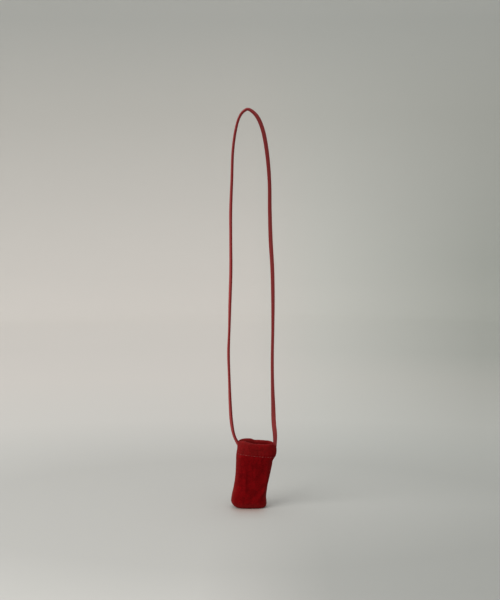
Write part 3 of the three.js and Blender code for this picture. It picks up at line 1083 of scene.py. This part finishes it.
def add_stitches(name, node, material, runs):
    """One row of sewing as a piece of many short stitches."""
    points = []
    faces = []
    tones = []
    for line, outs, across in runs:
        for number, stitch in enumerate(stitch_points(line, outs)):
            tone = 0.5 + 0.5 * math.sin(TONE_STEP * number + TONE_START)
            tones += [tone] * (STITCH_RINGS * STITCH_SIDES)
            centres = np.array([centre + across * lean for centre, out, lean in stitch])
            tangents = unit(np.gradient(centres, axis=0))
            start = len(points)
            for (centre, out, lean), middle, tangent in zip(stitch, centres, tangents):
                beside = unit(np.cross(tangent, out))
                up = np.cross(beside, tangent)
                for side in range(STITCH_SIDES):
                    turn = 2 * math.pi * side / STITCH_SIDES
                    spoke = math.cos(turn) * beside + THREAD_FLATNESS * math.sin(turn) * up
                    points.append(middle + THREAD / 2 * spoke)
            for ring in range(STITCH_RINGS - 1):
                for side in range(STITCH_SIDES):
                    after = (side + 1) % STITCH_SIDES
                    low = start + ring * STITCH_SIDES
                    high = low + STITCH_SIDES
                    faces.append((low + side, high + side, high + after, low + after))
            faces.append(tuple(range(start, start + STITCH_SIDES)))
            faces.append(tuple(range(len(points) - 1, len(points) - STITCH_SIDES - 1, -1)))
    piece = new_piece(name, points, faces, material)
    piece.data.attributes.new("tone", "FLOAT", "POINT").data.foreach_set("value", tones)
    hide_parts(node)


def add_casing_stitches(name, node, material, half_start):
    gap = side_angle(SLIT_WIDTH / 2) + STITCH_MARGIN
    angles = half_start + np.linspace(gap, math.pi - gap, STITCH_LINE_POINTS)
    line = pouch_points(angles, 0, STITCH_HEIGHT)
    outs = unit(line - pouch_points(angles, SUEDE, STITCH_HEIGHT))
    inside = 2 * SUEDE + HEM_GAP
    inner_line = pouch_points(angles, inside, STITCH_HEIGHT)
    add_stitches(name, node, material, [(line, outs, UP), (inner_line, -outs, UP)])


# Side seams inside the pouch

# Width of the two sheet edges in a seam, how far in they are sewn, and where the seam starts and ends
SEAM_ALLOWANCE = 5 * MM
SEAM_LINE = 3 * MM
SEAM_ROWS = 60
SEAM_FOOT = 12 * MM
SEAM_HEAD = HEM_EDGE - 0.5 * MM
SEAM_STITCH_OUT = SUEDE + 0.25 * MM

# The sheet edges: points across, start in the wall, thickness, gap, spread at the tip and ripple
EDGE_SHARES = 6
EDGE_ROOT = 0.6 * SUEDE
EDGE_THICKNESS = 0.95 * SUEDE
EDGE_GAP = 0.05 * MM
EDGE_SPREAD = 0.5 * MM
EDGE_RIPPLE = 0.25 * MM
EDGE_RIPPLE_STEP = 0.5


def seam_heights():
    return np.linspace(SEAM_FOOT, SEAM_HEAD, SEAM_ROWS)


def add_seam_edge(name, side, material):
    """The two sheet edges of a side seam, pressed together and standing inwards from the wall."""
    heights = seam_heights()
    points = []
    faces = []
    for layer in (-1, 1):
        start = len(points)
        for row, height in enumerate(heights):
            root = pouch_points(side, EDGE_ROOT, height)
            tip = pouch_points(side, SUEDE + SEAM_ALLOWANCE, height)
            ripple = EDGE_RIPPLE * math.sin(EDGE_RIPPLE_STEP * row)
            for share in np.linspace(0, 1, EDGE_SHARES):
                point = root + (tip - root) * share
                spread = EDGE_GAP + EDGE_SPREAD * share ** 2
                for face in (0, 1):
                    offset = layer * (spread + face * EDGE_THICKNESS) + ripple * share
                    points.append((point[0], offset, point[2]))
        ring = 2 * EDGE_SHARES
        order = [2 * k for k in range(EDGE_SHARES)] + [2 * k + 1 for k in reversed(range(EDGE_SHARES))]
        flip = layer * math.cos(side) < 0
        for row in range(len(heights) - 1):
            for k in range(ring):
                a, b = order[k], order[(k + 1) % ring]
                low, high = start + row * ring, start + (row + 1) * ring
                face = (low + a, low + b, high + b, high + a)
                faces.append(face if flip else face[::-1])
        cap = tuple(start + k for k in order)
        faces.append(cap[::-1] if flip else cap)
        top = tuple(start + (len(heights) - 1) * ring + k for k in order)
        faces.append(top if flip else top[::-1])
    return new_piece(name, points, faces, material)


def add_side_stitches(name, node, material, side):
    heights = seam_heights()
    middle = pouch_points(side, SUEDE + SEAM_LINE, heights)
    outward = np.array([math.cos(side), 0.0, 0.0])
    runs = []
    for layer in (-1, 1):
        line = middle.copy()
        line[:, 1] = layer * SEAM_STITCH_OUT
        outs = np.tile([0.0, layer, 0.0], (len(line), 1))
        runs.append((line, outs, outward))
    add_stitches(name, node, material, runs)


# Build

add_camera()
add_world(SKY_COLOUR, SKY_STRENGTH, SKY_SEEN)
add_area_light("key", LAMP_PLACE, LAMP_TARGET, LAMP_SIZE, LAMP_POWER, LAMP_COLOUR)
add_floor(paper_material())

lace = lace_material()
suede = suede_material()
thread = thread_material()
add_lace(lace)
pouch = add_pouch(suede)
add_casing_stitches("casing_stitches_front", "casing_thread_front", thread, LEFT)
add_casing_stitches("casing_stitches_back", "casing_thread_back", thread, RIGHT)
seam_edges = [add_seam_edge("seam_edge_left", LEFT, suede), add_seam_edge("seam_edge_right", RIGHT, suede)]
add_side_stitches("side_stitches_left", "side_thread_left", thread, LEFT)
add_side_stitches("side_stitches_right", "side_thread_right", thread, RIGHT)

bpy.context.scene.view_settings.view_transform = "Standard"
